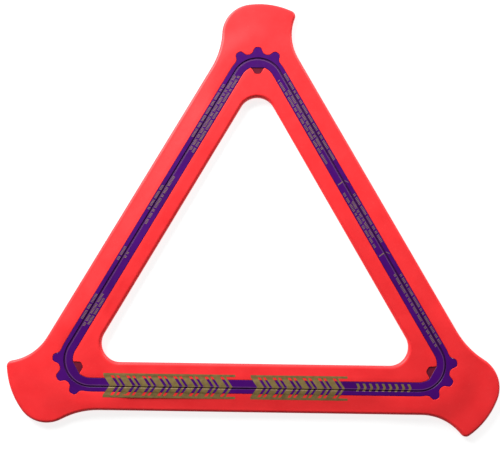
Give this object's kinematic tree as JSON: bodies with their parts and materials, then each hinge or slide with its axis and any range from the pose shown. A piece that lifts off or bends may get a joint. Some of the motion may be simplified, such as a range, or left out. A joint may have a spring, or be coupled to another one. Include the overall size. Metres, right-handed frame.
{
  "type": "three-armed boomerang",
  "caption": "Flat triangular boomerang with an open centre, curved wing tips, a stiff toothed backbone and soft rubber edges inside and out.",
  "frame": {"origin": "the spin axis at half the thickness, which is the centre of mass in plan", "axes": "+Z out of the crowned top face along the spin axis, +Y through one wing tip, X along the arm opposite that tip"},
  "size_m": [0.2913, 0.2596, 0.0048],
  "materials": {
    "soft_rubber": "satin coral-red moulded rubber with a fine grain, paler on its rounded rims",
    "backbone_plastic": "dark maroon moulded plastic, satin, seen in the groove and on the inner teeth",
    "print_film": "purple hot-stamped film with a soft gloss",
    "gold_marks": null
  },
  "bodies": {
    "root": {"backbone": "backbone_plastic", "outer_soft_edge": "soft_rubber", "inner_soft_edge": "soft_rubber", "outer_print_film": "print_film", "inner_print_film": "print_film"}
  },
  "joints": []
}
